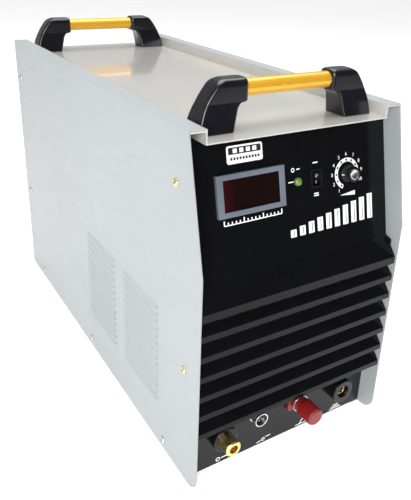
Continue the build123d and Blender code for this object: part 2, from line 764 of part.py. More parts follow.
def fan_rotor():
    """The hub and its pitched blades, turning on the fixed shaft."""
    y = fan_back() - fan_deep + 6.0
    hub = rod((0, y, fan_z), (0, 1, 0), hub_radius, 24.0)
    hub = fillet(hub.edges().group_by(Axis.Y)[-1], 3.0)
    reach = fan_bore - 2.5
    blade = Pos((hub_radius + reach) / 2 - 1.0, 0, 0) * Rot(38, 0, 0) * Box(reach - hub_radius + 2.0, 2.2, 34.0)
    blade = Pos(0, y + 12.0, fan_z) * blade
    limit = rod((0, y, fan_z), (0, 1, 0), reach, 24.0)
    for number in range(blade_count):
        hub += blade.rotate(Axis((0, 0, fan_z), (0, 1, 0)), number * 360 / blade_count) & limit
    return hub - rod((0, y, fan_z), (0, 1, 0), shaft_radius + running_gap, 20.2)


def fan_guard():
    """The fan's guard outside the rear panel: rings and spokes cut from one plate, with four eyes."""
    reach = math.sqrt(2) * fan_screw_offset()
    guard = Sketch()
    for number in range(guard_rings):
        radius = guard_inner + number * guard_pitch
        guard += Circle(radius + guard_wire) - Circle(radius - guard_wire)
    for turn in range(4):
        spoke = Pos((reach + guard_inner) / 2, 0) * Rectangle(reach - guard_inner, 2 * guard_wire)
        eye = Pos(reach, 0) * Circle(screw_head_radius + 1.2)
        hole = Pos(reach, 0) * Circle(screw_radius + hole_gap)
        guard += Rot(0, 0, 45 + 90 * turn) * (spoke + eye)
        guard -= Rot(0, 0, 45 + 90 * turn) * hole
    return extrude(Plane(origin=(0, rear_face, fan_z), x_dir=(1, 0, 0), z_dir=(0, 1, 0)) * guard, amount=guard_thick)


def rear_screws():
    """The screws that hold the fan and its guard."""
    seat = rear_face + guard_thick
    screws = []
    for x, z in fan_screw_places():
        head = rod((x, seat, z), (0, 1, 0), screw_head_radius, screw_head_tall)
        head = fillet(head.edges().group_by(Axis.Y)[-1], 1.2)
        slot = block(x - 2.6, x + 2.6, seat + 1.2, seat + screw_head_tall, z - 0.5, z + 0.5)
        screws.append(head - slot + rod((x, seat, z), (0, -1, 0), screw_radius, 16.0))
    return group(screws)


def breaker_pivot():
    return Vector(breaker_x, rear_face + 4.0, breaker_z)


def breaker_body():
    """The three-pole breaker: a body behind the rear panel and a nose through it."""
    half, tall = breaker_wide / 2, breaker_tall / 2
    body = block(breaker_x - half, breaker_x + half, rear_face - 52.0, rear_face - sheet - gap,
                 breaker_z - 40.0, breaker_z + 40.0)
    body += block(breaker_x - half, breaker_x + half, rear_face - sheet - gap, rear_face + 8.0,
                  breaker_z - tall, breaker_z + tall)
    pivot = breaker_pivot()
    start = pivot - Vector(half - 3.0, 0, 0)
    body -= rod(start, (1, 0, 0), 7.5, breaker_wide - 6.0)
    body -= block(breaker_x - half + 3.0, breaker_x + half - 3.0, pivot.Y, rear_face + 9.0,
                  breaker_z - 12.0, breaker_z + 12.0)
    return body


def breaker_toggle():
    """The tied toggle bar, shown down, which is off."""
    pivot = breaker_pivot()
    long = breaker_wide - 7.0
    start = pivot - Vector(long / 2, 0, 0)
    bar = rod(start, (1, 0, 0), 7.0, long)
    lever = block(breaker_x - long / 2, breaker_x + long / 2, pivot.Y, pivot.Y + 18.0, breaker_z - 2.5, breaker_z + 2.5)
    lever = fillet(lever.edges().group_by(Axis.Y)[-1].filter_by(Axis.X), 2.0)
    return (bar + lever).rotate(Axis(pivot, (1, 0, 0)), -toggle_swing / 2)


def gland_thread():
    return gland_bore + 4.0


def cable_gland():
    """The gland for the mains lead: hexagonal body, domed nut and a lock nut inside."""
    body = hex_bar((gland_x, rear_face, gland_z), (0, 1, 0), 2 * gland_thread() + 5.0, 8.0)
    dome = rod((gland_x, rear_face + 8.0, gland_z), (0, 1, 0), gland_thread() + 1.5, 17.0)
    body += fillet(dome.edges().group_by(Axis.Y)[-1], 2.5)
    body += rod((gland_x, rear_face, gland_z), (0, -1, 0), gland_thread(), 14.0)
    body += hex_bar((gland_x, rear_face - sheet, gland_z), (0, -1, 0), 2 * gland_thread() + 5.0, 5.0)
    return body - rod((gland_x, rear_face - 14.0, gland_z), (0, 1, 0), gland_bore, 40.0)


def gas_inlet():
    """The brass air inlet: a male end outside, a hexagon each side of the sheet, a pipe to the valve."""
    valve_rear = valve_y + valve_long
    inlet = rod((gas_x, rear_face - 12.0, gas_z), (0, 1, 0), gas_radius, 30.0)
    inlet += rod((gas_x, valve_rear, gas_z), (0, 1, 0), gas_pipe_radius, rear_face - 12.0 - valve_rear)
    inlet += hex_bar((gas_x, rear_face, gas_z), (0, 1, 0), 2 * gas_radius + 6.0, 5.0)
    inlet += hex_bar((gas_x, rear_face - sheet, gas_z), (0, -1, 0), 2 * gas_radius + 6.0, 4.0)
    return inlet - rod((gas_x, valve_rear, gas_z), (0, 1, 0), gas_bore, rear_face + 18.0 - valve_rear)


def earth_stud():
    """The case earth: a stud with a washer and a nut on each side of the sheet."""
    stud = rod((earth_x, rear_face - 10.0, earth_z), (0, 1, 0), earth_radius, 32.0)
    stud += rod((earth_x, rear_face, earth_z), (0, 1, 0), 8.0, 1.6)
    stud += hex_bar((earth_x, rear_face + 1.6, earth_z), (0, 1, 0), 13.0, 6.0)
    return stud + hex_bar((earth_x, rear_face - sheet, earth_z), (0, -1, 0), 13.0, 6.0)


# ---- Inside --------------------------------------------------------------------------------
def deck():
    return shelf_z + sheet


def heatsink():
    """The finned tunnel that the fan blows through."""
    z = deck()
    top = z + sink_fin_tall
    rear = sink_front + sink_long
    sink = block(-sink_wide / 2, sink_wide / 2, sink_front, rear, top, top + sink_base)
    step = (sink_wide - 3.0) / (sink_fins - 1)
    fins = []
    for number in range(sink_fins):
        x = -sink_wide / 2 + number * step
        fins.append(block(x, x + 3.0, sink_front, rear, z, top))
    return sink + fins


def power_modules():
    z = deck() + sink_fin_tall + sink_base
    module_long = (sink_long - 14.0) / 2 - 14.0
    modules = []
    for row in range(2):
        for column in range(3):
            x = (column - 1) * 38.0
            y = sink_front + 12.0 + row * (module_long + 14.0)
            modules.append(block(x - 17.0, x + 17.0, y, y + module_long, z, z + module_tall))
    return group(modules)


def power_board():
    """The power circuit board over the modules, with the bus capacitors soldered to it."""
    z = deck() + sink_fin_tall + sink_base + module_tall
    front, long = sink_front + 4.0, sink_long - 8.0
    board = block(-sink_wide / 2, sink_wide / 2, front, front + long, z, z + board_thick)
    rows = int(long // (2 * can_radius + 19.0))
    for row in range(rows):
        for side in (-1, 1):
            place = (side * 27.0, front + (row + 0.5) * long / rows, z + board_thick)
            can = rod(place, (0, 0, 1), can_radius, can_tall)
            board += fillet(can.edges().group_by(Axis.Z)[-1], 2.0)
    return board


def output_rectifiers():
    z = deck()
    rear = rectifier_front + rectifier_long
    return group([block(x - 20.0, x + 20.0, rectifier_front, rear, z, z + 30.0) for x in (-50.0, 0.0, 50.0)])


def control_board():
    """The upright board behind the front face, with its row of relays and chips."""
    z = deck()
    board = block(-105.0, 105.0, shelf_front + 6.0, shelf_front + 6.0 + board_thick, z, z + 112.0)
    for number in range(5):
        x = -80.0 + number * 40.0
        board += block(x - 9.0, x + 9.0, shelf_front + 6.0 + board_thick, shelf_front + 24.0, z + 20.0, z + 44.0)
    return board


def transformer_core():
    """The ferrite core of the main transformer, a closed frame with a centre leg."""
    z = 2 * sheet
    front, rear = transformer_y, transformer_y + 40.0
    core = block(-60.0, 60.0, front, rear, z, z + 100.0)
    for x in (-27.0, 27.0):
        core -= block(x - 15.0, x + 15.0, front, rear, z + 20.0, z + 80.0)
    return core


def transformer_coil():
    z = 2 * sheet
    front, rear = transformer_y, transformer_y + 40.0
    coil = block(-24.0, 24.0, front - 13.0, rear + 13.0, z + 22.0, z + 78.0)
    coil = fillet(coil.edges().filter_by(Axis.Z), 6.0)
    return coil - block(-12.2, 12.2, front - 0.2, rear + 0.2, z + 22.0, z + 78.0)


def output_choke():
    """The output inductor, a wound ring standing on the floor."""
    z = 2 * sheet
    ring = tube((0, choke_y, z), (0, 0, 1), 58.0, 24.0, 46.0)
    return fillet(ring.edges(), 6.0)


def ignition_unit():
    z = 2 * sheet
    return block(-130.0, -64.0, ignition_y, ignition_y + 76.0, z, z + 60.0)


def gas_valve():
    """The solenoid valve between the air inlet and the torch."""
    z = gas_z
    valve = block(gas_x - 14.0, gas_x + 14.0, valve_y, valve_y + valve_long, z - 14.0, z + 12.0)
    valve += rod((gas_x, valve_y + valve_long / 2, z + 12.0), (0, 0, 1), 12.0, 34.0)
    return valve + rod((gas_x, valve_y, z), (0, -1, 0), hose_bore - hole_gap, 14.0)


def air_hose():
    """The hose from the valve to the tail of the torch connector, along the right side."""
    torch_y = face_setback + torch_tail + 1.0
    start = valve_y - 52.0
    run = start - torch_y - hose_straight
    route = [
        (gas_x, valve_y - 1.0, gas_z),
        (gas_x, start, gas_z),
        (94.0, start - 0.13 * run, 76.0),
        (104.0, start - 0.25 * run, 54.0),
        (110.0, start - 0.38 * run, 34.0),
        (110.0, start - 0.52 * run, 24.0),
        (100.0, start - 0.65 * run, 20.0),
        (70.0, start - 0.76 * run, 20.0),
        (24.0, start - 0.83 * run, 20.0),
        (-26.0, start - 0.87 * run, 26.0),
        (-72.0, start - 0.92 * run, 44.0),
        (torch_x, torch_y + hose_straight, connector_z),
        (torch_x, torch_y, connector_z),
    ]
    points = [Vector(*point) for point in route]
    radii = []
    for before, here, after in zip(points, points[1:], points[2:]):
        turn = (here - before).get_angle(after - here)
        shorter = min((here - before).length, (after - here).length)
        radii.append(0.45 * shorter / math.tan(math.radians(turn) / 2))
    print("air hose bend radii:", [round(radius, 1) for radius in radii])
    path = FilletPolyline(*points, radius=radii)
    section = Plane(origin=path @ 0, z_dir=path % 0) * (Circle(hose_radius) - Circle(hose_bore))
    return sweep(section, path=path)


# ---- All the pieces ------------------------------------------------------------------------
def make_parts():
    """Every node of the unit, by name."""
    left = side_panel()
    places = handle_places()
    parts = {
        "left_side_panel": left,
        "right_side_panel": mirrored(left),
        "top_cover": top_cover(),
        "base_plate": base_plate(),
        "front_bezel": front_bezel(),
        "connector_panel": connector_panel(),
        "rear_panel": rear_panel(),
        "inner_shelf": inner_shelf(),
        "side_screws": side_screws(),
        "rear_screws": rear_screws(),
        "handle_bolts": handle_bolts(),
        "badge_plate": badge_plate(),
        "meter_frame": meter_frame(),
        "meter_lens": meter_lens(),
        "meter_module": meter_module(),
        "indicator_lamp": lamp(),
        "rocker_housing": rocker_housing(),
        "mode_rocker": mode_rocker(),
        "current_knob": current_knob(),
        "knob_cap": knob_cap(),
        "potentiometer": potentiometer(),
        "potentiometer_shaft": potentiometer_shaft(),
        "potentiometer_nut": potentiometer_nut(),
        "torch_insulator": torch_insulator(),
        "torch_connector": torch_connector(),
        "torch_nut": torch_nut(),
        "control_socket_shell": control_socket_shell(),
        "control_socket_insert": control_socket_insert(),
        "control_socket_pins": control_socket_pins(),
        "terminal_base": terminal_base(),
        "terminal_stud": terminal_stud(),
        "terminal_washer": terminal_washer(),
        "terminal_cap": terminal_cap(),
        "earth_socket_body": earth_socket_body(),
        "earth_socket_contact": earth_socket_contact(),
        "fan_frame": fan_frame(),
        "fan_rotor": fan_rotor(),
        "fan_guard": fan_guard(),
        "breaker_body": breaker_body(),
        "breaker_toggle": breaker_toggle(),
        "cable_gland": cable_gland(),
        "gas_inlet": gas_inlet(),
        "earth_stud": earth_stud(),
        "heatsink": heatsink(),
        "power_modules": power_modules(),
        "power_board": power_board(),
        "output_rectifiers": output_rectifiers(),
        "control_board": control_board(),
        "transformer_core": transformer_core(),
        "transformer_coil": transformer_coil(),
        "output_choke": output_choke(),
        "ignition_unit": ignition_unit(),
        "gas_valve": gas_valve(),
        "air_hose": air_hose(),
    }
    for name, y in places.items():
        parts[name + "_handle_left_foot"] = handle_foot(y, -1)
        parts[name + "_handle_right_foot"] = handle_foot(y, 1)
        parts[name + "_handle_tube"] = handle_tube(y)
    return parts


def middle_y(parts):
    """The y of the middle of the whole unit's footprint."""
    boxes = [piece.bounding_box() for piece in parts.values()]
    return (min(box.min.Y for box in boxes) + max(box.max.Y for box in boxes)) / 2


def save(parts):
    """Writes each piece with the origin at the centre of the footprint, on the floor."""
    os.makedirs("parts", exist_ok=True)
    back = -middle_y(parts)
    for name, piece in parts.items():
        export_step(Pos(0, back, 0) * piece, "parts/" + name + ".step")
    print(len(parts), "pieces, moved by", round(back, 4))


if __name__ == "__main__":
    save(make_parts())
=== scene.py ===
import json
import math

import bmesh
import bpy
from mathutils import Matrix, Vector


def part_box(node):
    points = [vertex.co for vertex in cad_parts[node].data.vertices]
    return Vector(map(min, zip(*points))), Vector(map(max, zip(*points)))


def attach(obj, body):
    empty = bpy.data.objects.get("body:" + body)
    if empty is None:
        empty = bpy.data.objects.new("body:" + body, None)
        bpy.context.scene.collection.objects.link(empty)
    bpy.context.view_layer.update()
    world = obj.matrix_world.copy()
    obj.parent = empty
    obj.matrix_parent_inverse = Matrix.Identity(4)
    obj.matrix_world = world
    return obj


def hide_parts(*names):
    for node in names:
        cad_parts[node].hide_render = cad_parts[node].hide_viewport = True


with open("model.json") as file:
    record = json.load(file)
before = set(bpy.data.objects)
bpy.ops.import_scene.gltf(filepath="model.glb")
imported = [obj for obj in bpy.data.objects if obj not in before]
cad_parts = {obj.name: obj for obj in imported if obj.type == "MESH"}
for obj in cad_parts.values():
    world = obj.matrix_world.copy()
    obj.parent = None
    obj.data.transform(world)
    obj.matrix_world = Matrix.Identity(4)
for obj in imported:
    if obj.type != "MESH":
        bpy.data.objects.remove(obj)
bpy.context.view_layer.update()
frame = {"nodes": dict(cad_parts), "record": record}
nodes = frame["nodes"]

# Sizes in millimetres: y = 0 at the side panels' foremost edge, z = 0 on the floor.
MM = 0.001
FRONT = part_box("left_side_panel")[0].y / MM
DEPTH = (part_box("left_side_panel")[1].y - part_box("left_side_panel")[0].y) / MM
HALF_WIDTH = 145.0
REAR_FACE = DEPTH - 15.0
LEAN, TOP, KNEE, SETBACK = 33.0, 440.0, 293.0, 27.0
SLOPE = math.atan2(LEAN, TOP - KNEE)
TRAY_FLOOR = 425.0
HANDLE_INSET = 39.0

# Front controls: their centres across and up, and the sizes that their marks need.
METER_X, METER_Z, WINDOW_WIDE, GLOW_WIDE = -61.5, 360.5, 73.5, 16.0
LAMP_X, LAMP_Z = 4.0, 360.5
ROCKER_X, ROCKER_Z, ROCKER_DEEP = 31.0, 360.5, -4.0
ROCKER_TILT, ROCKER_FACE_TILT, ROCKER_CROWN = 10.0, 7.4, 5.12
KNOB_X, KNOB_Z, KNOB_FLUTES, KNOB_FLUTE_DEPTH = 79.5, 358.5, 20, 0.9
BADGE_X, BADGE_Z, BADGE_WIDE, BADGE_TALL, BADGE_THICK = -65.4, 402.0, 46.0, 19.5, 0.6
DIAL_START, DIAL_STEP, DIAL_COUNT = 236.0, 29.0, 10
BAND_OUTER, BAND_INNER, NUMBER_RADIUS, NUMBER_SIZE = 19.0, 14.4, 23.6, 6.0
POWER_LEFT, POWER_WIDE, POWER_BARS, POWER_BOTTOM = -12.0, 134.0, 10, 298.0
INK_DEEP, INK_THICK, OVERPRINT = -0.05, 0.13, 0.05

# Connector panel.
PANEL_Y = 27.0
CONNECTOR_Z, TERMINAL_X = 55.5, 21.0
CAP_FRONT = (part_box("terminal_cap")[0].y) / MM - FRONT
CAP_REAR = (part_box("terminal_cap")[1].y) / MM - FRONT
CAP_FLUTES, CAP_FLUTE_DEPTH = 26, 0.8
TORCH_MARK_X, CONTROL_MARK_X, TERMINAL_MARK_X, SOCKET_MARK_X = -90.0, -27.0, 36.5, 99.0
MARK_Z, SMALL_MARK_Z = 7.6, 7.2

# Handle feet: heights above the tray.
FOOT_RISE, FOOT_SHOULDER, FOOT_WAIST, COLLAR_UNDER = 55.5, 48.5, 24.0, 30.8
FOOT_ROUND = FOOT_RISE - FOOT_SHOULDER
FOOT_LEVELS = (
    0, 1.2, 6, 12, 18, 24, 28, 30, 30.8, 31.2, 32,
    35, 39, 43, 46.5, 48.5, 50.3, 52, 53.4, 54.5, 55.2, 55.5,
)

# Side screws as (y, z): two ahead of the rear face, three on the floor row, two at the front.
REAR_SCREWS = ((REAR_FACE - 10.0, 379.0), (REAR_FACE - 10.0, 164.0))
FLOOR_SCREWS = ((590.0, 14.0), (336.0, 14.0), (85.0, 14.0))
FRONT_SCREWS = ((57.0, 380.0), (34.0, 160.0))
HEAD_RINGS = (
    (0, -6.0),
    (1.9, -6.0),
    (1.9, 0.0),
    (4.7, 0.0),
    (4.7, 0.6),
    (4.4, 1.2),
    (3.4, 1.85),
    (2.0, 2.15),
    (0, 2.2),
)

# Camera.
AZIMUTH, ELEVATION, ROLL = -32.4364, 22.5722, 2.1982
CAMERA_PLACE = (-419.9, -451.8, 603.6)
LENS, SENSOR, SHIFT_X, SHIFT_Y = 43.46, 36.0, -0.0197, -0.1030

# Floor and light.
FLOOR_CORNERS = ((-9.0, -1.9), (9.0, -1.9), (9.0, 22.0), (-9.0, 22.0))
FLOOR_GLOW = 0.66
BRIGHT_SIDE = (0.05, 0.98, 0.12)
SKY_DARK, SKY_BRIGHT, DARK_END, BRIGHT_END = 0.08, 0.40, -0.45, 0.25
TOP_POWER, LEFT_POWER = 88.0, 88.0


def at(x, y, z):
    """A point given in millimetres, in the frame's metres."""
    return Vector((x * MM, (y + FRONT) * MM, z * MM))


def face_y(z):
    """The y of the leaning front face at a height, in millimetres."""
    return SETBACK + math.tan(SLOPE) * (z - KNEE)


def on_face(x, z, out=0.0):
    """A matrix in the leaning face: its x to the right, its y up the slope, its z out of the face."""
    normal = Vector((0, -math.cos(SLOPE), math.sin(SLOPE)))
    up = Vector((0, math.sin(SLOPE), math.cos(SLOPE)))
    turn = Matrix((Vector((1, 0, 0)), up, normal)).transposed().to_4x4()
    return Matrix.Translation(at(x, face_y(z), z) + normal * out * MM) @ turn


def facing_front(x, y, z):
    """A matrix whose z points out of the front (-Y), with x to the right and y up."""
    turn = Matrix((Vector((1, 0, 0)), Vector((0, 0, 1)), Vector((0, -1, 0)))).transposed().to_4x4()
    return Matrix.Translation(at(x, y, z)) @ turn


# ---- Materials -----------------------------------------------------------------------------
IOR = 1.5
RANGE_INPUTS = ("From Min", "From Max", "To Min", "To Max")


class Shader:
    """A small builder for one node material."""

    def __init__(self, name):
        self.mat = bpy.data.materials.new(name)
        self.mat.use_nodes = True
        self.tree = self.mat.node_tree
        self.tree.nodes.clear()
        self.out = self.tree.nodes.new("ShaderNodeOutputMaterial")
        self.bsdf = self.tree.nodes.new("ShaderNodeBsdfPrincipled")
        self.link(self.bsdf.outputs["BSDF"], self.out.inputs["Surface"])
        self.coord = self.tree.nodes.new("ShaderNodeTexCoord").outputs["Object"]

    def link(self, a, b):
        self.tree.links.new(a, b)

    def put(self, value, socket):
        """Links a socket, or sets a plain number or colour on one."""
        if isinstance(value, bpy.types.NodeSocket):
            self.link(value, socket)
        elif isinstance(value, (tuple, list)) and len(value) == 3 and socket.type == "RGBA":
            socket.default_value = (*value, 1.0)
        else:
            socket.default_value = value

    def stretched(self, scale):
        node = self.tree.nodes.new("ShaderNodeMapping")
        node.inputs["Scale"].default_value = scale
        self.link(self.coord, node.inputs["Vector"])
        return node.outputs["Vector"]

    def noise(self, scale, detail=3.0, rough=0.5, vector=None):
        node = self.tree.nodes.new("ShaderNodeTexNoise")
        node.inputs["Scale"].default_value = scale
        node.inputs["Detail"].default_value = detail
        node.inputs["Roughness"].default_value = rough
        self.link(vector or self.coord, node.inputs["Vector"])
        return node.outputs["Fac"]

    def cells(self, scale):
        node = self.tree.nodes.new("ShaderNodeTexVoronoi")
        node.inputs["Scale"].default_value = scale
        self.link(self.coord, node.inputs["Vector"])
        return node.outputs["Distance"]

    def spread(self, value, low, high, to_low, to_high):
        node = self.tree.nodes.new("ShaderNodeMapRange")
        for name, number in zip(RANGE_INPUTS, (low, high, to_low, to_high)):
            node.inputs[name].default_value = number
        self.link(value, node.inputs["Value"])
        return node.outputs["Result"]

    def mix(self, fac, a, b):
        node = self.tree.nodes.new("ShaderNodeMix")
        node.data_type = "RGBA"
        self.put(fac, node.inputs[0])
        self.put(a, node.inputs[6])
        self.put(b, node.inputs[7])
        return node.outputs[2]

    def patches(self, scale, detail=4.0):
        """Noise with its contrast raised to run from 0 to 1."""
        return self.spread(self.noise(scale, detail), 0.3, 0.7, 0.0, 1.0)

    def math(self, kind, a, b):
        node = self.tree.nodes.new("ShaderNodeMath")
        node.operation = kind
        self.put(a, node.inputs[0])
        self.put(b, node.inputs[1])
        return node.outputs[0]

    def rounded(self, radius):
        node = self.tree.nodes.new("ShaderNodeBevel")
        node.samples = 4
        node.inputs["Radius"].default_value = radius * MM
        return node.outputs["Normal"]

    def bump(self, height, strength, distance, normal=None):
        node = self.tree.nodes.new("ShaderNodeBump")
        node.inputs["Strength"].default_value = strength
        node.inputs["Distance"].default_value = distance * MM
        self.link(height, node.inputs["Height"])
        if normal:
            self.link(normal, node.inputs["Normal"])
        return node.outputs["Normal"]

    def finish(self, color, rough, metallic=0.0, coat=0.0, coat_rough=0.1, normal=None):
        self.put(color, self.bsdf.inputs["Base Color"])
        self.put(rough, self.bsdf.inputs["Roughness"])
        self.put(metallic, self.bsdf.inputs["Metallic"])
        self.put(coat, self.bsdf.inputs["Coat Weight"])
        self.put(coat_rough, self.bsdf.inputs["Coat Roughness"])
        self.put(IOR, self.bsdf.inputs["IOR"])
        if normal:
            self.link(normal, self.bsdf.inputs["Normal"])
        return self.mat


def shade(color, factor):
    return tuple(min(1.0, channel * factor) for channel in color)


def painted(name, color, rough, peel=0.08, coat=0.0, edge=0.5, drift=0.03, shine=0.5):
    """Powder coat or lacquer on sheet metal: fine orange peel, slow drift of tone, faint marks."""
    s = Shader(name)
    tone = s.mix(s.patches(5.0, 2.0), shade(color, 1 - drift), shade(color, 1 + drift))
    speck = s.spread(s.noise(1400.0, 1.0), 0.62, 0.78, 0.0, 0.12)
    tone = s.mix(speck, tone, shade(color, 0.7))
    rubbed = s.noise(60.0, 5.0, 0.7, s.stretched((1.0, 0.3, 2.5)))
    worn = s.spread(rubbed, 0.35, 0.75, rough * 0.85, rough * 1.2)
    peel_height = s.noise(650.0, 2.0)
    normal = s.bump(peel_height, peel, 0.12, s.rounded(edge))
    s.bsdf.inputs["Specular IOR Level"].default_value = shine
    return s.finish(tone, worn, coat=coat, coat_rough=0.06, normal=normal)


def moulded(name, color, rough, grain=0.15, edge=0.5, shine=0.5):
    """Moulded plastic with a spark-eroded grain and small differences of gloss."""
    s = Shader(name)
    tone = s.mix(s.patches(18.0), shade(color, 0.9), shade(color, 1.12))
    gloss = s.spread(s.noise(14.0, 3.0, 0.5), 0.3, 0.7, rough * 0.93, rough * 1.08)
    height = s.cells(1100.0)
    normal = s.bump(height, grain, 0.06, s.rounded(edge))
    s.bsdf.inputs["Specular IOR Level"].default_value = shine
    return s.finish(tone, gloss, normal=normal)


def metal(name, color, rough, along=(1.0, 1.0, 1.0), streak=0.25, edge=0.3):
    """Bare or plated metal, with fine lines where 'along' is small in one direction."""
    s = Shader(name)
    lines = s.noise(700.0, 3.0, 0.6, s.stretched(along))
    tone = s.mix(s.patches(35.0), shade(color, 0.86), shade(color, 1.08))
    gloss = s.spread(lines, 0.3, 0.7, rough * (1 - streak), rough * (1 + streak))
    normal = s.bump(lines, 0.12, 0.03, s.rounded(edge))
    return s.finish(tone, gloss, metallic=1.0, normal=normal)


def anodised(name, color, rough):
    """Gold lacquer over drawn aluminium: half metal, half body colour, with lines along the bar."""
    s = Shader(name)
    lines = s.noise(700.0, 3.0, 0.6, s.stretched((0.02, 1.0, 1.0)))
    tone = s.mix(s.spread(lines, 0.3, 0.7, 0.0, 1.0), shade(color, 0.9), shade(color, 1.08))
    gloss = s.spread(s.noise(40.0, 3.0), 0.3, 0.7, rough * 0.85, rough * 1.15)
    return s.finish(tone, gloss, metallic=0.3, coat=0.3, normal=s.bump(lines, 0.08, 0.03))


def lens(name, color, painted_glow):
    """Dark red filter, with a painted glow: its left end is made slightly brighter in its colour,
    standing in for light that gets in behind it.
    """
    s = Shader(name)
    split = s.tree.nodes.new("ShaderNodeSeparateXYZ")
    s.link(s.coord, split.inputs[0])
    left = (METER_X - WINDOW_WIDE / 2) * MM
    # Painted glow: towards the left end the colour runs up to a brighter red, standing in for light
    # getting in behind the filter.
    lit = s.spread(split.outputs["X"], left, left + GLOW_WIDE * MM, 1.0, 0.0)
    smear = s.spread(s.noise(60.0, 3.0), 0.3, 0.7, 0.75, 1.0)
    tone = s.mix(s.math("MULTIPLY", lit, smear), color, painted_glow)
    gloss = s.spread(s.noise(200.0, 3.0), 0.3, 0.7, 0.05, 0.11)
    return s.finish(tone, gloss, normal=s.bump(s.noise(30.0), 0.02, 0.1))


def lamp_cap(name, color):
    """Translucent green cap: deeper colour in the middle, paler rim."""
    s = Shader(name)
    tone = s.mix(s.spread(s.cells(300.0), 0.0, 0.6, 0.0, 1.0), shade(color, 1.15), shade(color, 0.75))
    s.bsdf.inputs["Transmission Weight"].default_value = 0.25
    s.bsdf.inputs["Subsurface Weight"].default_value = 0.2
    s.bsdf.inputs["Subsurface Scale"].default_value = 0.002
    gloss = s.spread(s.noise(150.0), 0.3, 0.7, 0.12, 0.2)
    return s.finish(tone, gloss, coat=0.3, normal=s.rounded(0.4))


def printed(name, color):
    """Screen printing ink: nearly flat, with thin spots and a slight sheen."""
    s = Shader(name)
    thin = s.spread(s.noise(900.0, 3.0, 0.6), 0.55, 0.8, 0.0, 0.25)
    tone = s.mix(thin, color, shade(color, 0.6))
    gloss = s.spread(s.noise(500.0), 0.3, 0.7, 0.35, 0.5)
    return s.finish(tone, gloss, normal=s.bump(s.noise(1200.0), 0.1, 0.02))


looks = {
    "side_paint": painted("side_paint", (0.352, 0.376, 0.388), 0.42, peel=0.08),
    "cover_paint": painted("cover_paint", (0.50, 0.49, 0.46), 0.16, peel=0.03, coat=0.8),
    "front_black": moulded("front_black", (0.004, 0.0042, 0.005), 0.15, grain=0.02, edge=0.9, shine=0.14),
    "panel_dark": painted("panel_dark", (0.006, 0.0065, 0.0075), 0.34, peel=0.08, shine=0.3),
    "zinc": metal("zinc", (0.66, 0.65, 0.60), 0.32),
    "handle_black": moulded("handle_black", (0.0065, 0.006, 0.0095), 0.20, grain=0.06, edge=0.5),
    "handle_gold": anodised("handle_gold", (0.74, 0.385, 0.025), 0.30),
    "badge_grey": printed("badge_white", (0.93, 0.93, 0.93)),
    "bezel_grey": moulded("bezel_grey", (0.125, 0.148, 0.18), 0.35, grain=0.1, edge=0.8),
    "lens_red": lens("lens_red", (0.006, 0.0012, 0.0014), (0.032, 0.001, 0.004)),
    "lamp_green": lamp_cap("lamp_green", (0.20, 0.34, 0.06)),
    "black_plastic": moulded("black_plastic", (0.0045, 0.0045, 0.005), 0.26, grain=0.08, shine=0.3),
    "red_plastic": moulded("red_plastic", (0.20, 0.008, 0.010), 0.28, grain=0.08),
    "brass": metal("brass", (0.95, 0.68, 0.27), 0.30, along=(1.0, 0.05, 1.0)),
    "chrome": metal("chrome", (0.82, 0.82, 0.83), 0.26),
    "alloy": metal("alloy", (0.78, 0.78, 0.78), 0.25),
    "board_green": moulded("board_green", (0.01, 0.10, 0.04), 0.4),
    "copper": metal("copper", (0.70, 0.28, 0.12), 0.35, along=(1.0, 1.0, 0.05)),
    "ferrite": moulded("ferrite", (0.03, 0.03, 0.033), 0.6, grain=0.3),
    "hose_rubber": moulded("hose_rubber", (0.01, 0.01, 0.01), 0.55, grain=0.3),
}
white_ink = printed("white_ink", (0.93, 0.93, 0.93))
grey_ink = printed("grey_ink", (0.30, 0.31, 0.32))
black_ink = printed("black_ink", (0.006, 0.006, 0.007))
yellow_zinc = metal("yellow_zinc", (0.80, 0.66, 0.30), 0.3)

slots = {entry["node"]: entry["material_slot"] for entry in frame["record"]["subparts"]}
for node_name, node in nodes.items():
    node.data.materials.clear()
    node.data.materials.append(looks[slots[node_name]])


# ---- Mesh helpers --------------------------------------------------------------------------
def add_object(name, mesh, material, body, replaced=()):
    """Names a mesh piece, gives it its look and fixes it to its body."""
    piece = bpy.data.objects.new(name, mesh)
    bpy.context.scene.collection.objects.link(piece)
    for one in material if isinstance(material, (list, tuple)) else (material,):
        mesh.materials.append(one)
    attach(piece, body)
    if replaced:
        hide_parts(*replaced)
    return piece


def mesh_from(bm, name, smooth=True):
    mesh = bpy.data.meshes.new(name)
    bmesh.ops.recalc_face_normals(bm, faces=bm.faces)
    bm.to_mesh(mesh)
    bm.free()
    for polygon in mesh.polygons:
        polygon.use_smooth = smooth
    return mesh


def add_prism(bm, points, depth, place, start=0.0):
    """Adds a closed prism: an outline of (x, y) millimetres, from 'start' out along z."""
    low = [bm.verts.new(place @ (Vector((x, y, start)) * MM)) for x, y in points]
    high = [bm.verts.new(place @ (Vector((x, y, start + depth)) * MM)) for x, y in points]
    bm.faces.new(low[::-1])
    bm.faces.new(high)
    count = len(points)
    for i in range(count):
        j = (i + 1) % count
        bm.faces.new((low[i], low[j], high[j], high[i]))


def add_lathe(bm, rings, place, steps=48):
    """Adds a turned shape from (radius, height) pairs; a radius of 0 closes it at a point."""
    loops = []
    for radius, height in rings:
        if radius < 1e-6:
            loops.append([bm.verts.new(place @ (Vector((0, 0, height)) * MM))])
            continue
        loop = []
        for step in range(steps):
            angle = 2 * math.pi * step / steps
            point = Vector((radius * math.cos(angle), radius * math.sin(angle), height)) * MM
            loop.append(bm.verts.new(place @ point))
        loops.append(loop)
    for a, b in zip(loops, loops[1:]):
        for i in range(steps):
            j = (i + 1) % steps
            corners = [a[i % len(a)], a[j % len(a)], b[j % len(b)], b[i % len(b)]]
            unique = list(dict.fromkeys(corners))
            if len(unique) > 2:
                bm.faces.new(unique)


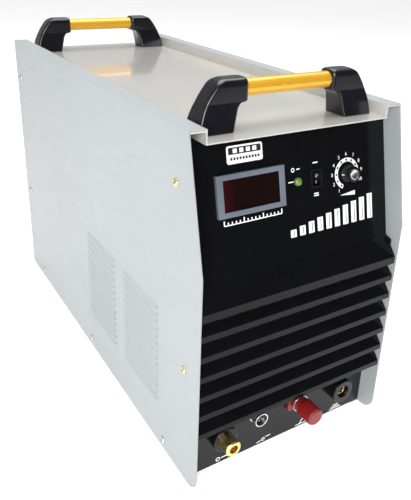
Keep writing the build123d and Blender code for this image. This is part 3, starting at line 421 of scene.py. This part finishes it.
def arc(cx, cy, radius, start, end, steps):
    """Points on an arc, in degrees."""
    span = [math.radians(start + (end - start) * i / steps) for i in range(steps + 1)]
    return [(cx + radius * math.cos(a), cy + radius * math.sin(a)) for a in span]


def rounded_box(wide, tall, radius, steps=6, cx=0.0, cy=0.0):
    """The outline of a rectangle with rounded corners."""
    x, y = wide / 2 - radius, tall / 2 - radius
    points = []
    for sx, sy, start in ((1, 1, 0), (-1, 1, 90), (-1, -1, 180), (1, -1, 270)):
        points += arc(cx + sx * x, cy + sy * y, radius, start, start + 90, steps)
    return points


def oblong(x0, y0, x1, y1):
    return [(x0, y0), (x1, y0), (x1, y1), (x0, y1)]


# ---- Camera --------------------------------------------------------------------------------
def make_camera():
    azimuth, elevation, roll = (math.radians(angle) for angle in (AZIMUTH, ELEVATION, ROLL))
    level = math.cos(elevation)
    away = Vector((math.sin(azimuth) * level, -math.cos(azimuth) * level, math.sin(elevation)))
    right = Vector((math.cos(azimuth), math.sin(azimuth), 0))
    up = away.cross(right)
    rolled_right = math.cos(roll) * right + math.sin(roll) * up
    rolled_up = math.cos(roll) * up - math.sin(roll) * right
    data = bpy.data.cameras.new("camera")
    data.lens = LENS
    data.sensor_width = SENSOR
    data.shift_x = SHIFT_X
    data.shift_y = SHIFT_Y
    camera = bpy.data.objects.new("camera", data)
    bpy.context.scene.collection.objects.link(camera)
    turn = Matrix((rolled_right, rolled_up, away)).transposed().to_4x4()
    camera.matrix_world = Matrix.Translation(at(*CAMERA_PLACE)) @ turn
    bpy.context.scene.camera = camera


# ---- Floor and light -----------------------------------------------------------------------
def make_floor():
    s = Shader("floor_white")
    grain = s.patches(4.0, 3.0)
    tone = s.mix(grain, (0.76, 0.76, 0.76), (0.80, 0.80, 0.80))
    s.bsdf.inputs["Emission Color"].default_value = (1.0, 1.0, 1.0, 1.0)
    s.bsdf.inputs["Emission Strength"].default_value = FLOOR_GLOW
    look = s.finish(tone, 0.75)
    bm = bmesh.new()
    bm.faces.new([bm.verts.new((x, y, 0.0)) for x, y in FLOOR_CORNERS])
    mesh = mesh_from(bm, "floor", smooth=False)
    mesh.materials.append(look)
    floor = bpy.data.objects.new("floor", mesh)
    bpy.context.scene.collection.objects.link(floor)


def area_light(name, place, target, size, power):
    data = bpy.data.lights.new(name, "AREA")
    data.shape = "RECTANGLE"
    data.size, data.size_y = size
    data.energy = power
    light = bpy.data.objects.new(name, data)
    bpy.context.scene.collection.objects.link(light)
    light.location = place
    light.rotation_euler = (Vector(place) - Vector(target)).to_track_quat("Z", "Y").to_euler()


def make_light():
    """A room that is bright behind and dark in front, with soft boxes above and at the front left."""
    world = bpy.data.worlds.new("studio")
    bpy.context.scene.world = world
    world.use_nodes = True
    tree = world.node_tree
    tree.nodes.clear()
    out = tree.nodes.new("ShaderNodeOutputWorld")
    back = tree.nodes.new("ShaderNodeBackground")
    coord = tree.nodes.new("ShaderNodeTexCoord")
    dot = tree.nodes.new("ShaderNodeVectorMath")
    dot.operation = "DOT_PRODUCT"
    dot.inputs[1].default_value = Vector(BRIGHT_SIDE).normalized()
    ramp = tree.nodes.new("ShaderNodeMapRange")
    ramp.interpolation_type = "SMOOTHSTEP"
    for name, number in zip(RANGE_INPUTS, (DARK_END, BRIGHT_END, SKY_DARK, SKY_BRIGHT)):
        ramp.inputs[name].default_value = number
    back.inputs["Color"].default_value = (1.0, 1.0, 1.0, 1.0)
    tree.links.new(coord.outputs["Generated"], dot.inputs[0])
    tree.links.new(dot.outputs["Value"], ramp.inputs["Value"])
    tree.links.new(ramp.outputs["Result"], back.inputs["Strength"])
    tree.links.new(back.outputs["Background"], out.inputs["Surface"])
    area_light("top_box", (0.35, 0.3, 2.6), (0.1, 0.0, 0.2), (2.4, 2.6), TOP_POWER)
    area_light("left_box", (-1.7, -2.3, 1.2), (0.0, 0.0, 0.25), (1.6, 1.6), LEFT_POWER)


# ---- Printed marks -------------------------------------------------------------------------
def ink(name, outlines, place, material=None, body="chassis", thick=INK_THICK):
    """Flat printed shapes lying on a surface, all in one piece."""
    bm = bmesh.new()
    for outline in outlines:
        add_prism(bm, outline, thick, place, INK_DEEP)
    add_object(name, mesh_from(bm, name, smooth=False), material or white_ink, body)


def ring_outlines(cx, cy, outer, inner, start=0.0, end=360.0, pieces=24):
    """A ring or a part of one, as a row of short curved pieces."""
    outlines = []
    step = (end - start) / pieces
    for i in range(pieces):
        low, high = start + i * step, start + (i + 1) * step
        outlines.append(arc(cx, cy, outer, low, high, 2) + arc(cx, cy, inner, low, high, 2)[::-1])
    return outlines


def centred(cx, cy, wide, tall):
    return oblong(cx - wide / 2, cy - tall / 2, cx + wide / 2, cy + tall / 2)


def turned(points, cx, cy, angle):
    """An outline turned about a point, in degrees."""
    c, s = math.cos(math.radians(angle)), math.sin(math.radians(angle))
    return [(cx + (x - cx) * c - (y - cy) * s, cy + (x - cx) * s + (y - cy) * c) for x, y in points]


def number_mesh(text, size, place):
    """A printed number as a thin closed mesh, centred on a place."""
    curve = bpy.data.curves.new("number", "FONT")
    curve.body = text
    curve.size = size * MM
    curve.align_x = "CENTER"
    curve.align_y = "CENTER"
    curve.extrude = INK_THICK / 2 * MM
    curve.resolution_u = 3
    carrier = bpy.data.objects.new("number", curve)
    mesh = bpy.data.meshes.new_from_object(carrier)
    mesh.transform(place)
    bpy.data.objects.remove(carrier)
    return mesh


def make_dial():
    """The white scale band with black ticks, and the numbers round it."""
    place = on_face(KNOB_X, KNOB_Z)
    band_end = DIAL_START - DIAL_STEP * (DIAL_COUNT - 2) - 12.0
    band = ring_outlines(0, 0, BAND_OUTER, BAND_INNER, band_end, DIAL_START + 10.0, 60)
    ink("dial_band", band, place)
    middle = (BAND_OUTER + BAND_INNER) / 2
    ticks = []
    for number in range(DIAL_COUNT - 1):
        angle = DIAL_START - DIAL_STEP * number
        tick = centred(middle, 0, 2.5, 2.8)
        ticks.append(turned(tick, 0, 0, angle))
    ink("dial_ticks", ticks, place, black_ink, thick=INK_THICK + OVERPRINT)
    for number in range(DIAL_COUNT):
        angle = math.radians(DIAL_START - DIAL_STEP * number)
        x, y = NUMBER_RADIUS * math.cos(angle), NUMBER_RADIUS * math.sin(angle)
        shift = Matrix.Translation(Vector((x, y, 0.02)) * MM)
        mesh = number_mesh(str(number + 1), NUMBER_SIZE, place @ shift)
        add_object("dial_number_" + str(number + 1), mesh, white_ink, "chassis")
    wedge = [(-12.0, -25.2), (12.0, -28.0), (12.0, -22.4)]
    ink("dial_wedge", [wedge], place)


def make_marks():
    """Plain symbols in the places of the lettering round the controls, and a white streak left of the
    lamp that is a painted highlight.
    """
    lamp = on_face(LAMP_X, LAMP_Z)
    ink("lamp_mark", ring_outlines(-6.0, 14.0, 2.5, 1.5) + [centred(1.5, 14.3, 4.6, 1.3)], lamp)
    # Painted highlight: a white streak left of the lamp, drawn with the white ink, standing in for the
    # reflection of the lamp's bezel.
    ink("lamp_painted_highlight", [centred(-9.3, 0.6, 7.6, 1.2)], lamp)
    rocker = on_face(ROCKER_X, ROCKER_Z)
    ink("rocker_mark_top", [centred(0, 18.2, 7.0, 1.5)], rocker)
    ink("rocker_mark_bottom", [centred(0, -18.2, 7.0, 1.3), centred(0, -20.6, 7.0, 1.3)], rocker)
    meter = on_face(METER_X, METER_Z)
    scale_left, scale_right, scale_y = -36.0, 41.0, -32.5
    shapes = [oblong(scale_left, scale_y - 0.6, scale_right, scale_y + 0.6)]
    ticks = 15
    for number in range(ticks + 1):
        x = scale_left + (scale_right - scale_left) * number / ticks
        tall = 5.6 if number % 5 == 0 else 3.4
        shapes.append(oblong(x - 0.75, scale_y, x + 0.75, scale_y + tall))
    ink("meter_scale", shapes, meter)


def make_rocker_mark():
    """A ring printed on the raised half of the rocker, and a short bar on the other half."""
    tilt = Matrix.Rotation(math.radians(ROCKER_TILT), 4, "X")
    pivot = on_face(ROCKER_X, ROCKER_Z, ROCKER_DEEP) @ tilt
    for name, y, turn, shapes in (
        ("rocker_ring", 3.9, ROCKER_FACE_TILT, ring_outlines(0, 0, 2.0, 1.1)),
        ("rocker_bar", -3.9, -ROCKER_FACE_TILT, [centred(0, 0, 1.1, 3.6)]),
    ):
        lift = Matrix.Translation(Vector((0, y, ROCKER_CROWN)) * MM)
        ink(name, shapes, pivot @ lift @ Matrix.Rotation(math.radians(turn), 4, "X"), grey_ink, "rocker")


def make_power_bars():
    """Ten rising bars with a dark line inside each, where a large type name would stand."""
    place = on_face(0, POWER_BOTTOM)
    pitch = POWER_WIDE / POWER_BARS
    solid, lines = [], []
    for number in range(POWER_BARS):
        x = POWER_LEFT + (number + 0.5) * pitch
        tall = 9.0 + 2.5 * number
        solid.append(centred(x, tall / 2, pitch * 0.62, tall))
        lines.append(centred(x + 0.9, tall / 2, 1.0, tall - 3.6))
    ink("power_bars", solid, place)
    ink("power_lines", lines, place, black_ink, thick=INK_THICK + OVERPRINT)


def make_badge():
    """A plain badge: white blocks on a dark upper half, dark dashes on a white lower half."""
    place = on_face(BADGE_X, BADGE_Z, BADGE_THICK)
    wide, tall = BADGE_WIDE - 4.0, BADGE_TALL / 2 - 2.2
    upper = rounded_box(wide, tall, 1.4, cy=tall / 2 + 0.3)
    ink("badge_dark", [upper], place, black_ink)
    blocks = [centred((i - 1.5) * 8.4, tall / 2 + 0.3, 5.2, 4.6) for i in range(4)]
    ink("badge_blocks", blocks, place, thick=INK_THICK + OVERPRINT)
    dashes = [centred((i - 4.5) * 3.9, -tall / 2 - 0.6, 2.6, 3.0) for i in range(10)]
    ink("badge_dashes", dashes, place, black_ink)


def make_lead_marks():
    """Small line symbols on the connector panel, one under each connector."""
    torch = facing_front(TORCH_MARK_X, PANEL_Y, MARK_Z)
    ink("torch_mark", ring_outlines(-7.0, 0, 3.2, 1.9) + [centred(3.0, 0.4, 11.0, 1.5)], torch)
    control = facing_front(CONTROL_MARK_X, PANEL_Y, SMALL_MARK_Z)
    left_wire = turned(centred(-7.0, 0, 7.0, 1.3), 0, 0, 12)
    right_wire = centred(7.5, 2.6, 8.5, 1.3)
    ink("control_mark", ring_outlines(0, 0, 2.8, 1.6) + [left_wire, right_wire], control)
    terminal = facing_front(TERMINAL_MARK_X, PANEL_Y, MARK_Z)
    slanted = turned(centred(0, 0.8, 6.4, 1.4), 0, 0.8, 60)
    ink("terminal_mark", [centred(0, -2.8, 18.0, 1.4), slanted, centred(2.8, 3.8, 5.0, 1.4)], terminal)
    socket = facing_front(SOCKET_MARK_X, PANEL_Y, SMALL_MARK_Z)
    ink("socket_mark", [centred(0, -2.4 + 2.9 * i, 21.0 - 6.0 * i, 1.4) for i in range(3)], socket)


# ---- Detailed pieces -----------------------------------------------------------------------
def foot_outer(z):
    """The x of the foot's outer flank: a curve that runs in over the shoulder."""
    if z <= FOOT_SHOULDER:
        return 119.0 - 0.0318 * z - 0.00806 * z * z
    t = (z - FOOT_SHOULDER) / FOOT_ROUND
    return 98.5 - 5.7 * t - 5.8 * t ** 3


def foot_inner(z):
    """The x of the foot's inner side, which steps out to the tube's collar."""
    if z < FOOT_WAIST:
        return 77.5 - 7.0 * z / FOOT_WAIST
    if z < COLLAR_UNDER - 0.1:
        return 70.5 - 6.5 * ((z - FOOT_WAIST) / (COLLAR_UNDER - FOOT_WAIST)) ** 1.6
    if z < COLLAR_UNDER + 0.1:
        return 60.0
    if z < COLLAR_UNDER + 0.6:
        return 58.5
    return 58.0 + max(0.0, (z - 53.0) / 2.5) ** 2 * 2.5


def foot_half(z):
    """Half of the foot's depth from front to rear."""
    if z < COLLAR_UNDER:
        return 17.5 - 4.5 * z / COLLAR_UNDER
    t = max(0.0, z - FOOT_SHOULDER) / FOOT_ROUND
    return 13.0 - FOOT_ROUND * (1 - math.sqrt(max(0.0, 1 - t * t)))


def add_loft(bm, sections):
    """Joins closed sections of the same number of points, and caps both ends."""
    loops = [[bm.verts.new(point) for point in section] for section in sections]
    for a, b in zip(loops, loops[1:]):
        for i in range(len(a)):
            j = (i + 1) % len(a)
            bm.faces.new((a[i], a[j], b[j], b[i]))
    bm.faces.new(loops[0][::-1])
    bm.faces.new(loops[-1])


def make_foot(node, y, side):
    """A glossy moulded foot with a waist, a rounded shoulder and a collar for the tube."""
    bm = bmesh.new()
    sections = []
    for z in FOOT_LEVELS:
        outer, inner, half = foot_outer(z), foot_inner(z), foot_half(z)
        radius = 2.5 + 2.5 * z / FOOT_RISE
        outline = rounded_box(outer - inner, 2 * half, min(radius, half * 0.8), 5, (outer + inner) / 2)
        sections.append([at(side * px, y + py, TRAY_FLOOR + z) for px, py in outline])
    add_loft(bm, sections)
    name = node + "_look"
    foot = add_object(name, mesh_from(bm, name), looks["handle_black"], "chassis", (node,))
    foot.modifiers.new("normals", "WEIGHTED_NORMAL")


def make_feet():
    handles = {"front": LEAN + HANDLE_INSET, "rear": DEPTH - HANDLE_INSET}
    for end, y in handles.items():
        make_foot(end + "_handle_left_foot", y, -1)
        make_foot(end + "_handle_right_foot", y, 1)


def wavy_ring(radius, height, flutes, depth, steps=6):
    """Points round a ring whose radius dips by 'depth' once for each flute."""
    count = flutes * steps
    points = []
    for step in range(count):
        wave = 0.5 + 0.5 * math.cos(2 * math.pi * step / steps)
        reach = radius - depth * wave
        angle = 2 * math.pi * step / count
        points.append(Vector((reach * math.cos(angle), reach * math.sin(angle), height)) * MM)
    return points


def add_fluted(bm, base, grip, crown, place, flutes, depth):
    """A turned shape from (radius, height) pairs: a round base and crown, with a fluted grip between."""
    round_base = [wavy_ring(radius, height, flutes, 0.0) for radius, height in base]
    fluted_grip = [wavy_ring(radius, height, flutes, depth) for radius, height in grip]
    round_crown = [wavy_ring(radius, height, flutes, 0.0) for radius, height in crown]
    rings = round_base + fluted_grip + round_crown
    add_loft(bm, [[place @ point for point in ring] for ring in rings])


def make_knob():
    """The fluted knob with its skirt and a short white pointer."""
    place = on_face(KNOB_X, KNOB_Z)
    bm = bmesh.new()
    skirt = [(9.4, 0.6), (10.3, 0.65), (10.5, 0.9), (10.5, 2.5), (10.3, 2.8)]
    grip = [(10.1, 3.0), (9.9, 4.0), (9.7, 10.5), (9.5, 12.2), (9.1, 13.1)]
    crown = [(8.4, 13.5), (6.5, 13.6)]
    add_fluted(bm, skirt, grip, crown, place, KNOB_FLUTES, KNOB_FLUTE_DEPTH)
    mesh = mesh_from(bm, "current_knob_look")
    add_object("current_knob_look", mesh, looks["black_plastic"], "knob", ("current_knob",))
    bm = bmesh.new()
    add_prism(bm, centred(-9.75, 0, 1.3, 1.1), 3.6, place, 2.2)
    add_object("knob_pointer", mesh_from(bm, "knob_pointer", False), white_ink, "knob")
    bm = bmesh.new()
    wall = [(0, 12.4), (6.3, 12.4), (6.3, 13.5), (6.1, 13.85)]
    dished = [(5.7, 14.0), (4.9, 13.95), (4.4, 13.7), (0, 13.65)]
    add_lathe(bm, wall + dished, place)
    mesh = mesh_from(bm, "knob_cap_look")
    add_object("knob_cap_look", mesh, looks["alloy"], "knob", ("knob_cap",))


def make_terminal_cap():
    """The fat fluted red cap, with a plain collar at the panel and a rounded end."""
    place = facing_front(TERMINAL_X, CAP_REAR, CONNECTOR_Z)
    long = CAP_REAR - CAP_FRONT
    bm = bmesh.new()
    collar = [(10.6, 0.0), (11.0, 0.4), (11.0, 3.4), (10.4, 4.0), (10.4, 5.2), (11.6, 5.8)]
    grip = [(12.0, 6.8), (12.0, long - 4.0), (11.7, long - 2.0)]
    crown = [(10.9, long - 0.8), (9.6, long - 0.1), (8.0, long)]
    add_fluted(bm, collar, grip, crown, place, CAP_FLUTES, CAP_FLUTE_DEPTH)
    mesh = mesh_from(bm, "terminal_cap_look")
    add_object("terminal_cap_look", mesh, looks["red_plastic"], "clamp_cap", ("terminal_cap",))


def paint_new(bm, before, index):
    """Gives the faces added since 'before' a material of their own."""
    bm.faces.ensure_lookup_table()
    for face in bm.faces[before:]:
        face.material_index = index


def add_side_screw(bm, place, look):
    """One pan head screw, with its cross recess shown as painted shade: a thin black cross on the head,
    turned a little.
    """
    before = len(bm.faces)
    add_lathe(bm, HEAD_RINGS, place, 28)
    paint_new(bm, before, look)
    # Painted shade: the recess is not cut; two thin black bars on the head stand in for its shadow.
    before = len(bm.faces)
    for turn in (35.0, 125.0):
        add_prism(bm, turned(centred(0, 0, 4.8, 1.0), 0, 0, turn), 0.7, place, 1.55)
    paint_new(bm, before, 2)


def make_side_screws():
    """The screws of both side panels: bright zinc, and yellow zinc for the front ones, each with a black
    cross of painted shade for its recess.
    """
    bm = bmesh.new()
    for side in (-1, 1):
        axes = (Vector((0, side, 0)), Vector((0, 0, 1)), Vector((side, 0, 0)))
        outward = Matrix(axes).transposed().to_4x4()
        for look, places in enumerate((REAR_SCREWS + FLOOR_SCREWS, FRONT_SCREWS)):
            for y, z in places:
                add_side_screw(bm, Matrix.Translation(at(side * HALF_WIDTH, y, z)) @ outward, look)
    mesh = mesh_from(bm, "side_screws_look")
    # The third look, black, is painted shade for the cross recesses.
    screw_looks_and_recess_shade = [looks["zinc"], yellow_zinc, black_ink]
    add_object("side_screws_look", mesh, screw_looks_and_recess_shade, "chassis", ("side_screws",))


# ---- Softened edges of the plain pieces ----------------------------------------------------
# A merging distance in millimetres, and angles in degrees.
MERGE_GAP, FLAT_ANGLE, HARD_ANGLE = 0.002, 0.5, 35.0

# Width of the rounding on each node's hard edges.
ROUNDED_NODES = {
    "left_side_panel": 0.5,
    "right_side_panel": 0.5,
    "top_cover": 0.5,
    "front_bezel": 0.5,
    "connector_panel": 0.3,
    "rear_panel": 0.4,
    "base_plate": 0.4,
    "meter_frame": 0.8,
    "rocker_housing": 0.5,
    "mode_rocker": 0.3,
    "torch_insulator": 0.6,
    "control_socket_shell": 0.4,
    "terminal_base": 0.6,
    "terminal_washer": 0.4,
    "earth_socket_body": 0.6,
    "earth_socket_contact": 0.4,
    "fan_frame": 0.6,
    "fan_guard": 0.4,
    "breaker_body": 0.8,
    "breaker_toggle": 0.8,
    "cable_gland": 0.5,
    "gas_inlet": 0.4,
    "earth_stud": 0.4,
    "indicator_lamp": 0.2,
    "rear_screws": 0.3,
}


def soften(piece, width):
    """Joins a piece's flat faces and rounds its hard edges."""
    merge = piece.modifiers.new("merge", "WELD")
    merge.merge_threshold = MERGE_GAP * MM
    flat = piece.modifiers.new("flat", "DECIMATE")
    flat.decimate_type = "DISSOLVE"
    flat.angle_limit = math.radians(FLAT_ANGLE)
    bevel = piece.modifiers.new("edges", "BEVEL")
    bevel.width = width * MM
    bevel.segments = 2
    bevel.limit_method = "ANGLE"
    bevel.angle_limit = math.radians(HARD_ANGLE)
    normals = piece.modifiers.new("normals", "WEIGHTED_NORMAL")
    normals.keep_sharp = False


make_dial()
make_marks()
make_rocker_mark()
make_power_bars()
make_badge()
make_lead_marks()
make_feet()
make_knob()
make_terminal_cap()
make_side_screws()
for node_name, width in ROUNDED_NODES.items():
    soften(nodes[node_name], width)
make_camera()
make_floor()
make_light()
bpy.context.scene.view_settings.view_transform = "Standard"
